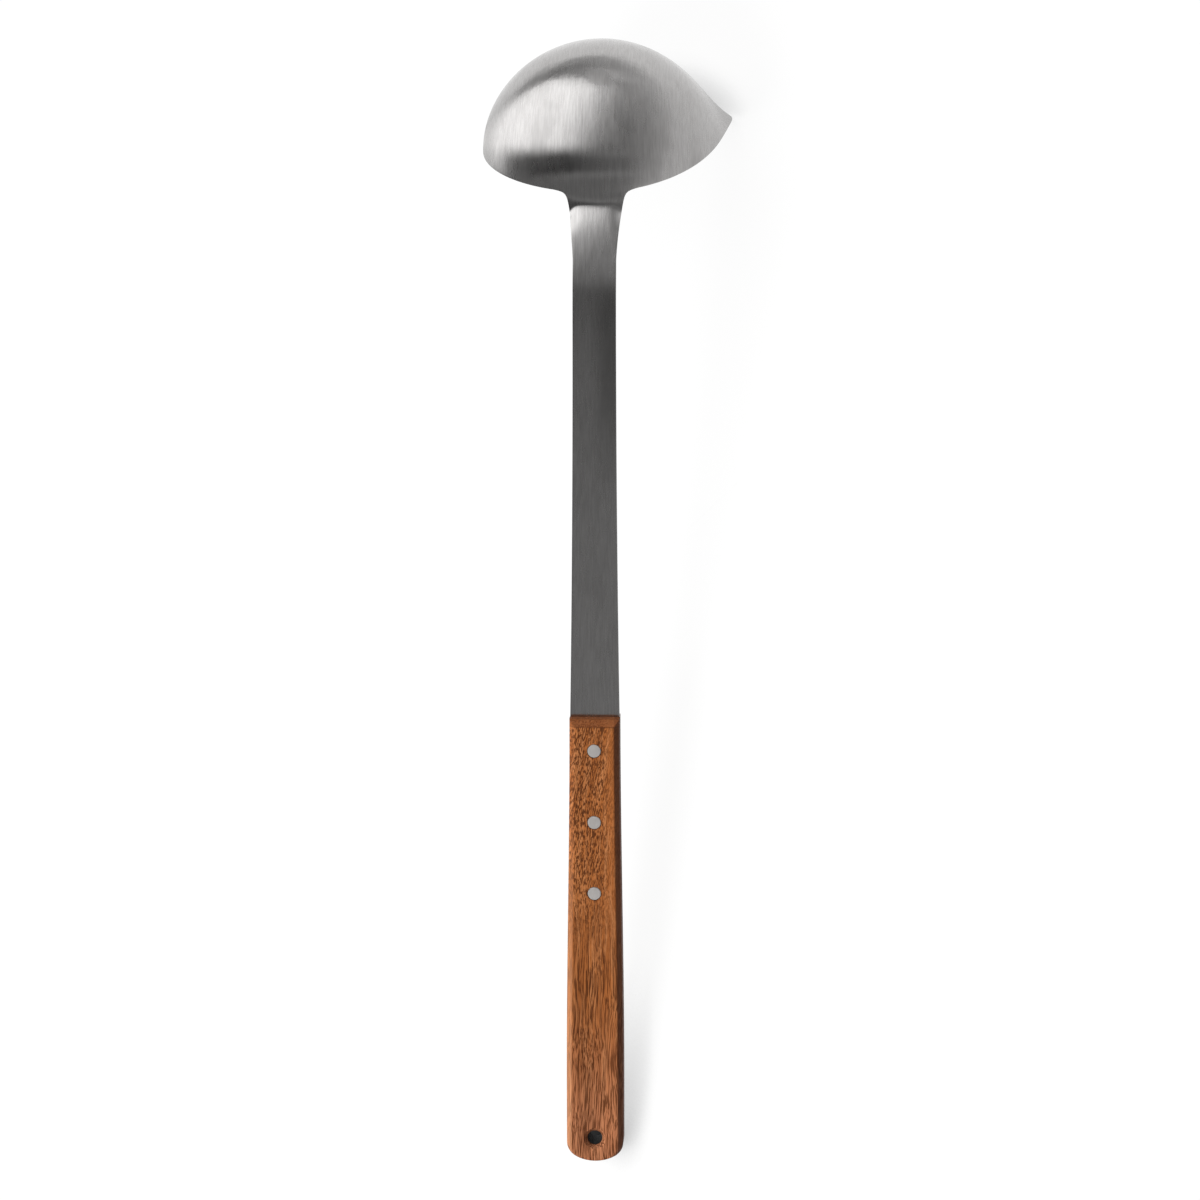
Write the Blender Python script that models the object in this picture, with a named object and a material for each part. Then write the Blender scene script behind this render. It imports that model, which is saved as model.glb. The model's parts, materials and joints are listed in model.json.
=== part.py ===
"""Soup ladle with a side lip: one steel pressing, a slotted wooden handle and three flush pins.

Everything is modelled flat first, in metres: the origin is where the shank meets the wood, on the
middle of the sheet, +X runs to the lip's side, +Y along the shank to the bowl and +Z to the back.
The whole ladle then lies back up, as it would on a table: it is rolled towards the lip, which is
where it comes to rest, and tilted until rim and butt both touch the floor.
"""

import math

import bmesh
import bpy
import numpy as np
from mathutils import Vector

# Steel sheet
SHEET = 0.0020

# Bowl: outer sizes, seen from its opening
BOWL_RADIUS = 0.0420
BOWL_DEPTH = 0.0386
BOWL_FULLNESS = 1.94
BOWL_LEAN = math.radians(15.3)

# Lip: a pinched spout on the right, where the rim is cut lower
LIP_REACH = 0.0070
LIP_SPREAD = math.radians(13.5)
LIP_AHEAD = math.radians(19.0)
LIP_FADE = 8.0
RIM_DIP = 0.0064
RIM_DIP_SPREAD = math.radians(116.0)

# Neck: from the near rim down the wall to a valley, then up to the flat shank in a long bend
NECK_LENGTH = 0.0227
NECK_STEP = 0.0092
NECK_FLARE = 0.00025
NECK_TAPER = 0.0022
NECK_TAPER_BEND = 1.3
NECK_WALL = 0.0025
NECK_VALLEY = 0.0050
NECK_CROWN = 0.0300
NECK_QUICK = 0.0065
NECK_SLOW = 0.0240
NECK_QUICK_SHARE = 0.35
NECK_BEND = 0.0650

# Shank: from the wood to the near rim
SHANK_LENGTH = 0.1840
SHANK_NARROW = 0.0150
SHANK_EASE = 0.150

# Handle
HANDLE_LENGTH = 0.1633
HANDLE_THICKNESS = 0.0130
HANDLE_TOP_WIDTH = 0.0176
HANDLE_BUTT_WIDTH = 0.0203
HANDLE_SWELL = 0.135
SIDE_CHAMFER = 0.0019
END_CHAMFER = 0.0026
BUTT_RADIUS = 0.0150
BUTT_CORNER = 0.0030

# Pins
PIN_DIAMETER = 0.0047
PIN_FIRST = 0.0112
PIN_PITCH = 0.0260
PIN_RECESS = 0.00005
PIN_CHAMFER = 0.0002
PIN_NAMES = ("rivet_upper", "rivet_middle", "rivet_lower")

# Tang, in a slot that is sawn right across the handle: it runs on past the last pin
TANG_MARGIN = 0.0148
TANG_INSET = 0.0001
TANG_LENGTH = PIN_FIRST + PIN_PITCH * (len(PIN_NAMES) - 1) + TANG_MARGIN

# Hanging hole
HOLE_DIAMETER = 0.0050
HOLE_MOUTH = 0.0076
HOLE_MOUTH_DEPTH = 0.0018
HOLE_FROM_BUTT = 0.0088

# Fit between pieces
FIT = 0.0003

# How far the laid ladle rolls to the lip's side before it lies still
LYING_ROLL = math.radians(34.1)

# Facets
BOWL_COLUMNS = 48
BOWL_RINGS = 12
NECK_COLUMNS = 6
NECK_ROWS = 16
SHANK_ROWS = 6
TANG_ROWS = 4
SIDE_POINTS = 12
BUTT_POINTS = 8
CORNER_POINTS = 3
ROUND_SIDES = 24
NECK_CROWDING = 1.5
SHARP_ANGLE = math.radians(35.0)
TILT_STEPS = 20

# Directions of the bowl: out of its opening, and across the rim to the neck
OPENING = Vector((0.0, -math.cos(BOWL_LEAN), -math.sin(BOWL_LEAN)))
TO_NECK = Vector((0.0, -math.sin(BOWL_LEAN), math.cos(BOWL_LEAN)))
TO_RIGHT = Vector((1.0, 0.0, 0.0))

NEAR_RIM = Vector((0.0, SHANK_LENGTH, SHEET / 2 - NECK_STEP))
RIM_CENTRE = NEAR_RIM - BOWL_RADIUS * TO_NECK
NECK_END = SHANK_LENGTH - NECK_LENGTH
BEND_END = SHANK_LENGTH - NECK_BEND


def clear_scene():
    """Removes whatever the scene holds."""
    for item in list(bpy.data.objects):
        bpy.data.objects.remove(item, do_unlink=True)


def make_material(name, colour, roughness, metallic):
    """A Principled BSDF material of one colour."""
    material = bpy.data.materials.new(name)
    material.use_nodes = True
    shader = material.node_tree.nodes["Principled BSDF"]
    shader.inputs["Base Color"].default_value = (*colour, 1.0)
    shader.inputs["Roughness"].default_value = roughness
    shader.inputs["Metallic"].default_value = metallic
    return material


def make_object(name, points, faces, parent):
    """A mesh object from points and faces, with its normals pointing out."""
    mesh = bpy.data.meshes.new(name)
    shape = bmesh.new()
    corners = [shape.verts.new(point) for point in points]
    for face in faces:
        shape.faces.new([corners[index] for index in face])
    bmesh.ops.recalc_face_normals(shape, faces=shape.faces)
    shape.to_mesh(mesh)
    shape.free()
    item = bpy.data.objects.new(name, mesh)
    bpy.context.collection.objects.link(item)
    item.parent = parent
    return item


def loft(name, loops, parent):
    """A closed solid through loops that have the same number of points."""
    count = len(loops[0])
    points = [point for loop in loops for point in loop]
    faces = [list(range(count)), list(range((len(loops) - 1) * count, len(loops) * count))]
    for level in range(len(loops) - 1):
        for index in range(count):
            after = (index + 1) % count
            low, high = level * count, (level + 1) * count
            faces.append([low + index, low + after, high + after, high + index])
    return make_object(name, points, faces, parent)


def turned(name, profile, place, parent):
    """A solid turned about Z from (radius, height) pairs, at a place."""
    loops = []
    for radius, height in profile:
        turn = [2 * math.pi * step / ROUND_SIDES for step in range(ROUND_SIDES)]
        loops.append([place + Vector((radius * math.cos(a), radius * math.sin(a), height)) for a in turn])
    return loft(name, loops, parent)


def cut(item, cutter):
    """Takes the cutter out of an object."""
    cutter.hide_render = True
    cutter.display_type = "WIRE"
    modifier = item.modifiers.new("cut_" + cutter.name, "BOOLEAN")
    modifier.operation = "DIFFERENCE"
    modifier.solver = "EXACT"
    modifier.object = cutter


def shade(item, material):
    """Gives an object its material, and smooth shading up to its corners."""
    item.data.materials.append(material)
    item.data.shade_smooth()
    item.data.set_sharp_from_angle(angle=SHARP_ANGLE)


def turn_between(angle, other):
    """The signed turn from one azimuth to another, within half a turn."""
    return (angle - other + math.pi) % (2 * math.pi) - math.pi


def ease(share):
    """Smooth step from 0 to 1."""
    share = min(max(share, 0.0), 1.0)
    return share * share * (3 - 2 * share)


def handle_half(y):
    """Half the handle's width at a place along it."""
    swell = ease(-y / HANDLE_SWELL)
    return (HANDLE_TOP_WIDTH + (HANDLE_BUTT_WIDTH - HANDLE_TOP_WIDTH) * swell) / 2


def steel_half(y):
    """Half the width of the shank and of the tang, which lies just inside the wood."""
    if y <= 0:
        return handle_half(y) - TANG_INSET
    wide = handle_half(0.0) - TANG_INSET
    narrow = SHANK_NARROW / 2
    return narrow + (wide - narrow) * max(1 - y / SHANK_EASE, 0.0) ** 2


def bowl_point(azimuth, share):
    """A point of the bowl's outside, from its bottom (share 0) to its rim (share 1).

    The azimuth is 0 at the right and a quarter turn at the neck.
    """
    from_lip = turn_between(azimuth, -LIP_AHEAD)
    dip = 0.0
    if abs(from_lip) < RIM_DIP_SPREAD:
        dip = RIM_DIP * (1 + math.cos(math.pi * from_lip / RIM_DIP_SPREAD)) / 2
    rim_turn = math.acos((dip / BOWL_DEPTH) ** (BOWL_FULLNESS / 2))
    turn = share * rim_turn
    lip = LIP_REACH / math.cosh(from_lip / LIP_SPREAD) * share**LIP_FADE
    radius = BOWL_RADIUS * math.sin(turn) ** (2 / BOWL_FULLNESS) + lip
    depth = BOWL_DEPTH * max(math.cos(turn), 0.0) ** (2 / BOWL_FULLNESS)
    outward = math.cos(azimuth) * TO_RIGHT + math.sin(azimuth) * TO_NECK
    return RIM_CENTRE + radius * outward - depth * OPENING


def wall_height(from_rim):
    """The height of the bowl's wall, drawn on past the near rim and levelling out."""
    return NEAR_RIM.z - math.tan(BOWL_LEAN) * NECK_WALL * (1 - math.exp(-from_rim / NECK_WALL))


def climb_left(from_rim):
    """The share of the climb from the valley that is left, which is steep at first."""
    past = from_rim - NECK_VALLEY
    return NECK_QUICK_SHARE * math.erfc(past / NECK_QUICK) + (1 - NECK_QUICK_SHARE) * math.erfc(past / NECK_SLOW)


def neck_height(from_rim):
    """The height of the neck's back: down the wall to the valley, then up in a long bend."""
    back = SHEET / 2
    least = climb_left(NECK_BEND)
    left = (climb_left(from_rim) - least) / (1 - least)
    return max(wall_height(from_rim), back - (back - wall_height(NECK_VALLEY)) * left)


def neck_row(from_rim, rim_row):
    """One row of points across the neck, from the row of rim points that it starts at."""
    middle = Vector((0.0, SHANK_LENGTH - from_rim, neck_height(from_rim)))
    rim_half = rim_row[0].x
    narrow = steel_half(middle.y)
    least = 1 / (1 + NECK_LENGTH / NECK_FLARE)
    flare = max((1 / (1 + from_rim / NECK_FLARE) - least) / (1 - least), 0.0)
    taper = NECK_TAPER * max(1 - from_rim / NECK_LENGTH, 0.0) ** NECK_TAPER_BEND
    half = narrow + taper + (rim_half - narrow - NECK_TAPER) * flare
    crown = 1 - ease(from_rim / NECK_CROWN)
    row = []
    for point in rim_row:
        x = point.x / rim_half * half
        sag = BOWL_RADIUS - math.sqrt(BOWL_RADIUS**2 - x**2)
        row.append(middle + Vector((x, 0, 0)) - sag * crown * TO_NECK)
    return row


def build_pressing(parent):
    """Bowl, lip, neck, shank and tang as one sheet, thickened towards the inside of the bowl."""
    step = 2 * math.pi / BOWL_COLUMNS
    azimuths = [math.pi / 2 + (column + 0.5 - NECK_COLUMNS / 2) * step for column in range(BOWL_COLUMNS)]
    points = [bowl_point(0.0, 0.0)]
    for ring in range(1, BOWL_RINGS + 1):
        points += [bowl_point(azimuth, ring / BOWL_RINGS) for azimuth in azimuths]
    faces = []
    for column in range(BOWL_COLUMNS):
        after = (column + 1) % BOWL_COLUMNS
        faces.append([0, 1 + column, 1 + after])
        for ring in range(BOWL_RINGS - 1):
            low, high = 1 + ring * BOWL_COLUMNS, 1 + (ring + 1) * BOWL_COLUMNS
            faces.append([low + column, high + column, high + after, low + after])

    rim_start = 1 + (BOWL_RINGS - 1) * BOWL_COLUMNS
    rim_row = points[rim_start : rim_start + NECK_COLUMNS]
    runs = [NECK_BEND * (row / NECK_ROWS) ** NECK_CROWDING for row in range(1, NECK_ROWS + 1)]
    rows = [neck_row(from_rim, rim_row) for from_rim in runs]
    stations = [BEND_END * (1 - row / SHANK_ROWS) for row in range(1, SHANK_ROWS + 1)]
    stations += [-TANG_LENGTH * row / TANG_ROWS for row in range(1, TANG_ROWS + 1)]
    for y in stations:
        shares = [point.x / rim_row[0].x for point in rim_row]
        rows.append([Vector((share * steel_half(y), y, SHEET / 2)) for share in shares])
    before = list(range(rim_start, rim_start + NECK_COLUMNS))
    for row in rows:
        these = list(range(len(points), len(points) + NECK_COLUMNS))
        points += row
        for column in range(NECK_COLUMNS - 1):
            faces.append([before[column], these[column], these[column + 1], before[column + 1]])
        before = these

    pressing = make_object("bowl_and_shank", points, faces, parent)
    face = pressing.data.polygons[0]
    if face.normal.dot(OPENING) > 0:
        pressing.data.flip_normals()
    thicken = pressing.modifiers.new("sheet", "SOLIDIFY")
    thicken.thickness = SHEET
    thicken.offset = -1.0
    thicken.use_even_offset = True
    return pressing


def butt_side(half, side):
    """The outline from the left or right side (-1 or 1) to the middle of the rounded butt."""
    reach = math.asin(half / BUTT_RADIUS)
    centre = -HANDLE_LENGTH + BUTT_RADIUS

    def on_arc(angle):
        return Vector((side * BUTT_RADIUS * math.sin(angle), centre - BUTT_RADIUS * math.cos(angle)))

    corner = on_arc(reach)
    above = corner + Vector((0.0, BUTT_CORNER))
    last = reach - BUTT_CORNER / BUTT_RADIUS
    beside = on_arc(last)
    outline = []
    for index in range(CORNER_POINTS + 1):
        share = index / (CORNER_POINTS + 1)
        outline.append((1 - share) ** 2 * above + 2 * share * (1 - share) * corner + share**2 * beside)
    # An even share on each side leaves a short straight edge in the middle, which the butt rests on
    for index in range(BUTT_POINTS // 2):
        outline.append(on_arc(last * (1 - index / (BUTT_POINTS / 2 - 0.5))))
    return outline


def handle_outline(side_inset, end_inset):
    """The handle's outline, inset along its sides and its top end but not at the butt."""
    left = butt_side(handle_half(-HANDLE_LENGTH) - side_inset, -1)
    right = butt_side(handle_half(-HANDLE_LENGTH) - side_inset, 1)
    side_end = left[0].y
    stations = [-end_inset + (side_end + end_inset) * index / SIDE_POINTS for index in range(SIDE_POINTS)]
    halves = [(handle_half(y) - side_inset, y) for y in stations]
    outline = [Vector((-half, y)) for half, y in halves]
    outline += left + right[::-1]
    outline += [Vector((half, y)) for half, y in halves[::-1]]
    return outline


def build_handle(parent):
    """The wooden handle with its chamfers, slot, pin holes and hanging hole."""
    half = HANDLE_THICKNESS / 2
    levels = (
        (-half, SIDE_CHAMFER, END_CHAMFER),
        (-half + SIDE_CHAMFER, 0.0, 0.0),
        (half - SIDE_CHAMFER, 0.0, 0.0),
        (half, SIDE_CHAMFER, END_CHAMFER),
    )
    loops = []
    for z, side_inset, end_inset in levels:
        loops.append([Vector((x, y, z)) for x, y in handle_outline(side_inset, end_inset)])
    handle = loft("wooden_handle", loops, parent)

    wide = HANDLE_BUTT_WIDTH
    slot_half = SHEET / 2 + FIT
    slot_end = -TANG_LENGTH - FIT
    slot_loops = []
    for z in (-slot_half, slot_half):
        corners = ((-wide, slot_end), (wide, slot_end), (wide, wide), (-wide, wide))
        slot_loops.append([Vector((x, y, z)) for x, y in corners])
    cut(handle, loft("cut_slot", slot_loops, parent))
    for name, place in zip(PIN_NAMES, pin_places()):
        cut(handle, pin_hole("cut_handle_" + name, place, parent))

    over = half + FIT
    wider = HOLE_MOUTH / 2 + FIT * (HOLE_MOUTH - HOLE_DIAMETER) / 2 / HOLE_MOUTH_DEPTH
    inner = half - HOLE_MOUTH_DEPTH
    profile = ((wider, -over), (HOLE_DIAMETER / 2, -inner), (HOLE_DIAMETER / 2, inner), (wider, over))
    hole_place = Vector((0.0, -HANDLE_LENGTH + HOLE_FROM_BUTT, 0.0))
    cut(handle, turned("cut_hanging_hole", profile, hole_place, parent))
    return handle


def pin_places():
    """The middles of the three pins along the handle."""
    return [Vector((0.0, -PIN_FIRST - PIN_PITCH * index, 0.0)) for index in range(len(PIN_NAMES))]


def pin_hole(name, place, parent):
    """A cutter for one pin's hole."""
    radius = PIN_DIAMETER / 2 + FIT
    return turned(name, ((radius, -HANDLE_THICKNESS), (radius, HANDLE_THICKNESS)), place, parent)


def build_pin(name, place, parent):
    """One solid pin with slightly broken edges, just under flush with the wood."""
    end = HANDLE_THICKNESS / 2 - PIN_RECESS
    radius = PIN_DIAMETER / 2
    tip = radius - PIN_CHAMFER
    profile = ((tip, -end), (radius, -end + PIN_CHAMFER), (radius, end - PIN_CHAMFER), (tip, end))
    return turned(name, profile, place, parent)


def world_points(items):
    """The corners of finished objects, with their modifiers applied."""
    bpy.context.view_layer.update()
    graph = bpy.context.evaluated_depsgraph_get()
    points = []
    for item in items:
        done = item.evaluated_get(graph)
        points += [tuple(done.matrix_world @ corner.co) for corner in done.data.vertices]
    return np.array(points)


def lay_down(root, bowl_piece, handle_piece):
    """Rolls the ladle, tilts it until rim and butt touch the floor, and puts the origin under its middle."""
    root.rotation_mode = "YXZ"
    root.rotation_euler = (0.0, LYING_ROLL, 0.0)
    steel = world_points([bowl_piece])
    rim = steel[steel[:, 1] > NECK_END]
    butt = world_points([handle_piece])
    tilt = 0.0
    for _ in range(TILT_STEPS):
        rise = np.array((0.0, math.sin(tilt), math.cos(tilt)))
        low_rim = rim[np.argmin(rim @ rise)]
        low_butt = butt[np.argmin(butt @ rise)]
        run = low_rim - low_butt
        tilt = -math.atan2(run[2], run[1])
    root.rotation_euler = (tilt, LYING_ROLL, 0.0)
    laid = world_points([bowl_piece, handle_piece])
    low, high = laid.min(axis=0), laid.max(axis=0)
    root.location = (-(low[0] + high[0]) / 2, -(low[1] + high[1]) / 2, -low[2])


def build_ladle():
    """All pieces, under one empty that lays them on the floor."""
    clear_scene()
    root = bpy.data.objects.new("ladle", None)
    bpy.context.collection.objects.link(root)
    steel = make_material("satin_steel", (0.60, 0.60, 0.59), 0.34, 1.0)
    wood = make_material("red_brown_wood", (0.36, 0.16, 0.075), 0.55, 0.0)
    pin_steel = make_material("pin_steel", (0.72, 0.71, 0.69), 0.42, 1.0)

    pressing = build_pressing(root)
    handle = build_handle(root)
    for name, place in zip(PIN_NAMES, pin_places()):
        cut(pressing, pin_hole("cut_tang_" + name, place, root))
        shade(build_pin(name, place, root), pin_steel)
    shade(pressing, steel)
    shade(handle, wood)
    lay_down(root, pressing, handle)


build_ladle()
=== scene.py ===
"""Looks of a soup ladle: a satin steel pressing, an oiled wooden handle and three flush steel pins.

Every piece is modelled in the ladle's own frame, in metres: the origin is where the shank meets the
wood, on the middle of the sheet, +X runs to the lip's side, +Y along the shank to the bowl and +Z to
the back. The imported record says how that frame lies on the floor.
"""

from __future__ import annotations

import json
import logging
import math
from collections.abc import Callable, Sequence
from dataclasses import dataclass
from enum import Enum
from functools import reduce

import bmesh
import bpy
from mathutils import Matrix, Vector

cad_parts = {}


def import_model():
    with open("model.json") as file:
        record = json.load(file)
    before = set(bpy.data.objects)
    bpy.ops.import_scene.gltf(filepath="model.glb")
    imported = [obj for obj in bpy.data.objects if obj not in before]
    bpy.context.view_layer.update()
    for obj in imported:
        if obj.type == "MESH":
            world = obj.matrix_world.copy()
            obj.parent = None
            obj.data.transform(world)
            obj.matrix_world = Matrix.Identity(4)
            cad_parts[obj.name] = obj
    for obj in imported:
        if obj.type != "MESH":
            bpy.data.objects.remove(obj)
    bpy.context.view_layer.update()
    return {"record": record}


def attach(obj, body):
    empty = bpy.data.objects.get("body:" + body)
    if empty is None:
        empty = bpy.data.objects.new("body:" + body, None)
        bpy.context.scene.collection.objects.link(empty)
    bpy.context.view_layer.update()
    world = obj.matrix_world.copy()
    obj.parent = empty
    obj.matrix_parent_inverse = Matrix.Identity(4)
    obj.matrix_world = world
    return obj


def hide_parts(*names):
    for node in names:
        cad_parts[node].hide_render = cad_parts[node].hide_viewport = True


LOG = logging.getLogger("ladle")

MILLIMETRES = 1000.0
PLACE = "own_place"

# Where the record's two back faces are measured, along the ladle's own frame
GRIP_MOUNT_AT = -0.115
SHANK_MOUNT_AT = 0.0875

Colour = tuple[float, float, float]
Span = tuple[float, float]
Socket = bpy.types.NodeSocket


class Slot(Enum):
    """The record's material slots."""

    STEEL = "satin_steel"
    WOOD = "handle_wood"
    PIN = "pin_steel"


def ease(share: float) -> float:
    """A smooth step from 0 to 1."""
    share = min(max(share, 0.0), 1.0)
    return share * share * (3 - 2 * share)


def turn_between(angle: float, other: float) -> float:
    """The signed turn from one azimuth to another, within half a turn."""
    return (angle - other + math.pi) % (2 * math.pi) - math.pi


def softened(before: Vector, corner: Vector, after: Vector, reach: float, steps: int) -> list[Vector]:
    """Rounds one corner of a polyline.

    Args:
        before: The point ahead of the corner.
        corner: The corner itself.
        after: The point behind the corner.
        reach: How far the rounding runs along both sides.
        steps: The number of straight pieces in the rounding.

    Returns:
        The points that take the corner's place.
    """
    start = corner + (before - corner).normalized() * reach
    end = corner + (after - corner).normalized() * reach
    points = []
    for index in range(steps + 1):
        t = index / steps
        points.append((1 - t) ** 2 * start + 2 * t * (1 - t) * corner + t * t * end)
    return points


def mirrored(upper: Sequence[Vector]) -> list[tuple[float, float]]:
    """A whole profile, bottom to top, from its upper half."""
    return [(point.x, -point.y) for point in upper[::-1]] + [(point.x, point.y) for point in upper]


def linked(name: str, data: bpy.types.ID) -> bpy.types.Object:
    """Makes an object and puts it in the scene.

    Args:
        name: The object's name.
        data: Its mesh, camera or light.

    Returns:
        The object.
    """
    item = bpy.data.objects.new(name, data)
    bpy.context.scene.collection.objects.link(item)
    return item


class Shape:
    """A mesh in the making: points and faces, then a finished object."""

    def __init__(self, name: str) -> None:
        """Starts an empty shape.

        Args:
            name: The finished object's name.
        """
        self.name = name
        self.points: list[Vector] = []
        self.faces: list[list[int]] = []

    def add_row(self, row: Sequence[Vector]) -> list[int]:
        """Adds points.

        Args:
            row: The points.

        Returns:
            Their indices.
        """
        first = len(self.points)
        self.points.extend(row)
        return list(range(first, first + len(row)))

    def bridge(self, low: Sequence[int], high: Sequence[int], closed: bool) -> None:
        """Joins two rows of as many points with quads.

        Args:
            low: The indices of the first row.
            high: The indices of the second row.
            closed: Whether the rows are rings.
        """
        count = len(low)
        for index in range(count if closed else count - 1):
            after = (index + 1) % count
            self.faces.append([low[index], low[after], high[after], high[index]])

    def loft(self, loops: Sequence[Sequence[Vector]]) -> Shape:
        """Fills the shape with a closed solid through rings of as many points.

        Args:
            loops: The rings, from one end to the other.

        Returns:
            The shape itself.
        """
        rings = [self.add_row(loop) for loop in loops]
        for low, high in zip(rings, rings[1:]):
            self.bridge(low, high, closed=True)
        self.faces.append(rings[0])
        self.faces.append(rings[-1])
        return self

    def build(self) -> bpy.types.Object:
        """Makes the object, with its faces pointing out.

        Returns:
            The object.
        """
        mesh = bpy.data.meshes.new(self.name)
        work = bmesh.new()
        corners = [work.verts.new(point) for point in self.points]
        for face in self.faces:
            work.faces.new([corners[index] for index in face])
        bmesh.ops.recalc_face_normals(work, faces=work.faces)
        work.to_mesh(mesh)
        work.free()
        return linked(self.name, mesh)


def turned(name: str, profile: Sequence[tuple[float, float]], place: Vector, sides: int) -> bpy.types.Object:
    """A solid turned about Z.

    Args:
        name: The object's name.
        profile: Pairs of radius and height.
        place: Where the axis and height 0 are.
        sides: The number of flats round it.

    Returns:
        The solid.
    """
    loops = []
    for radius, height in profile:
        turns = [2 * math.pi * step / sides for step in range(sides)]
        loops.append([place + Vector((radius * math.cos(a), radius * math.sin(a), height)) for a in turns])
    return Shape(name).loft(loops).build()


def cut_out(item: bpy.types.Object, cutters: Sequence[bpy.types.Object]) -> None:
    """Takes cutters out of an object, one after the other, and removes them.

    Args:
        item: The object that is cut.
        cutters: What is taken out.
    """
    for cutter in cutters:
        modifier = item.modifiers.new(cutter.name, "BOOLEAN")
        modifier.operation = "DIFFERENCE"
        modifier.solver = "EXACT"
        modifier.object = cutter
    settle(item)
    for cutter in cutters:
        bpy.data.objects.remove(cutter, do_unlink=True)


def settle(item: bpy.types.Object) -> None:
    """Turns an object's modifiers into plain mesh.

    Args:
        item: The object.
    """
    bpy.context.view_layer.update()
    graph = bpy.context.evaluated_depsgraph_get()
    mesh = bpy.data.meshes.new_from_object(item.evaluated_get(graph))
    item.modifiers.clear()
    item.data = mesh
    mesh.name = item.name


def smooth(item: bpy.types.Object, corner: float) -> None:
    """Shades an object smooth, up to corners of that angle."""
    item.data.shade_smooth()
    item.data.set_sharp_from_angle(angle=corner)


class Graph:
    """A node tree that is filled in by short calls."""

    def __init__(self, tree: bpy.types.NodeTree) -> None:
        """Works on that tree."""
        self.tree = tree

    def node(self, kind: str, **settings: object) -> bpy.types.Node:
        """Adds a node.

        Args:
            kind: Blender's name of the node's type.
            settings: Properties by name.

        Returns:
            The node.
        """
        node = self.tree.nodes.new(kind)
        for name, value in settings.items():
            setattr(node, name, value)
        return node

    def feed(self, socket: Socket, source: object) -> None:
        """Feeds an input.

        Args:
            socket: The input.
            source: A socket to link, or a plain value to set.
        """
        if isinstance(source, Socket):
            self.tree.links.new(source, socket)
        else:
            socket.default_value = source

    def feed_all(self, node: bpy.types.Node, sources: Sequence[object]) -> bpy.types.Node:
        """Feeds a node's first inputs, in order.

        Args:
            node: The node.
            sources: Sockets or plain values.

        Returns:
            The node.
        """
        for socket, source in zip(node.inputs, sources):
            self.feed(socket, source)
        return node

    def math(self, operation: str, *sources: object) -> Socket:
        """A Math node of sockets or numbers."""
        return self.feed_all(self.node("ShaderNodeMath", operation=operation), sources).outputs["Value"]

    def vector(self, operation: str, *sources: object) -> Socket:
        """A Vector Math node.

        Args:
            operation: Blender's name of the operation.
            sources: Sockets or vectors for its inputs.

        Returns:
            The result's socket, which is a number for a dot product or a length.
        """
        node = self.feed_all(self.node("ShaderNodeVectorMath", operation=operation), sources)
        return node.outputs["Value" if operation in ("DOT_PRODUCT", "LENGTH") else "Vector"]

    def product(self, *sources: object) -> Socket:
        """The product of two or more sockets or numbers."""
        return reduce(lambda result, source: self.math("MULTIPLY", result, source), sources)

    def towards(self, share: object, start: object, goal: object) -> Socket:
        """A value that goes from a start to a goal by a share."""
        return self.math("MULTIPLY_ADD", share, self.math("SUBTRACT", goal, start), start)

    def split(self, vector: object) -> tuple[Socket, Socket, Socket]:
        """A vector's three numbers."""
        return tuple(self.feed_all(self.node("ShaderNodeSeparateXYZ"), (vector,)).outputs)

    def join(self, x: object = 0.0, y: object = 0.0, z: object = 0.0) -> Socket:
        """A vector of three numbers."""
        return self.feed_all(self.node("ShaderNodeCombineXYZ"), (x, y, z)).outputs["Vector"]

    def step(self, value: object, low: float, high: float, start: float = 0.0, end: float = 1.0) -> Socket:
        """A smooth step of a value.

        Args:
            value: The socket to read.
            low: Where the step starts.
            high: Where the step ends.
            start: The result at and before low.
            end: The result at and after high.

        Returns:
            The result's socket.
        """
        node = self.node("ShaderNodeMapRange", interpolation_type="SMOOTHSTEP", clamp=True)
        return self.feed_all(node, (value, low, high, start, end)).outputs["Result"]

    def mix(self, factor: object, first: object, second: object) -> Socket:
        """Mixes two colours.

        Args:
            factor: The share of the second colour.
            first: The first colour's socket or RGBA.
            second: The second colour's socket or RGBA.

        Returns:
            The result's socket.
        """
        node = self.node("ShaderNodeMix", data_type="RGBA", clamp_factor=True)
        factor_socket = next(socket for socket in node.inputs if socket.identifier == "Factor_Float")
        self.feed(factor_socket, factor)
        for name, source in (("A_Color", first), ("B_Color", second)):
            self.feed(next(socket for socket in node.inputs if socket.identifier == name), source)
        return next(socket for socket in node.outputs if socket.identifier == "Result_Color")

    def noise(self, vector: object, detail: float, rough: float) -> Socket:
        """A noise texture's value.

        Args:
            vector: The coordinates, already scaled.
            detail: Its octaves.
            rough: The weight of its fine octaves.

        Returns:
            The value's socket.
        """
        node = self.node("ShaderNodeTexNoise", noise_dimensions="3D")
        for name, source in {"Vector": vector, "Scale": 1.0, "Detail": detail, "Roughness": rough}.items():
            self.feed(node.inputs[name], source)
        return node.outputs["Fac"]

    def bump(self, shader: bpy.types.Node, height: object, depth: float, strength: float) -> None:
        """Feeds a shader's Normal from a height.

        Args:
            shader: The Principled BSDF.
            height: The height's socket, from 0 to 1.
            depth: What a height of 1 is in metres.
            strength: The bump's share.
        """
        node = self.node("ShaderNodeBump")
        for name, source in {"Height": height, "Distance": depth, "Strength": strength}.items():
            self.feed(node.inputs[name], source)
        self.feed(shader.inputs["Normal"], node.outputs["Normal"])

    def own_place(self) -> Socket:
        """Places in the ladle's own frame, in millimetres."""
        place = self.node("ShaderNodeAttribute", attribute_type="GEOMETRY", attribute_name=PLACE)
        return self.vector("MULTIPLY", place.outputs["Vector"], (MILLIMETRES,) * 3)


def rgba(colour: Colour) -> tuple[float, float, float, float]:
    """A colour with full alpha."""
    return (*colour, 1.0)


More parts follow.
